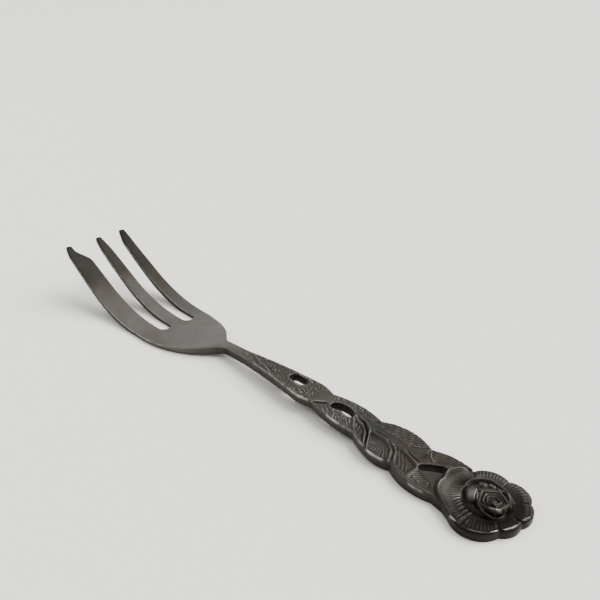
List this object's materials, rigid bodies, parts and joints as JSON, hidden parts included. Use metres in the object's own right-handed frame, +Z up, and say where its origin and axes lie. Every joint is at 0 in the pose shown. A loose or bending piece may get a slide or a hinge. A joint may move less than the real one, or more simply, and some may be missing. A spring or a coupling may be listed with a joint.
{
  "type": "cake fork",
  "caption": "Small one-piece fork: three upturned tines, the widest with a bevelled cutting edge, and a pierced, leaf-carved handle that ends in an open rose.",
  "frame": {"origin": "on the table, under the middle of the fork's outline seen from above", "axes": "+X from the rose to the tines, +Y towards the wide cutting tine, +Z up from the back to the carved front"},
  "size_m": [0.1445, 0.0212, 0.0152],
  "materials": {
    "fork": "tarnished silver alloy, satin, darker in the carving and brighter on worn edges"
  },
  "bodies": {
    "root": {"cake_fork": "fork"}
  },
  "joints": []
}
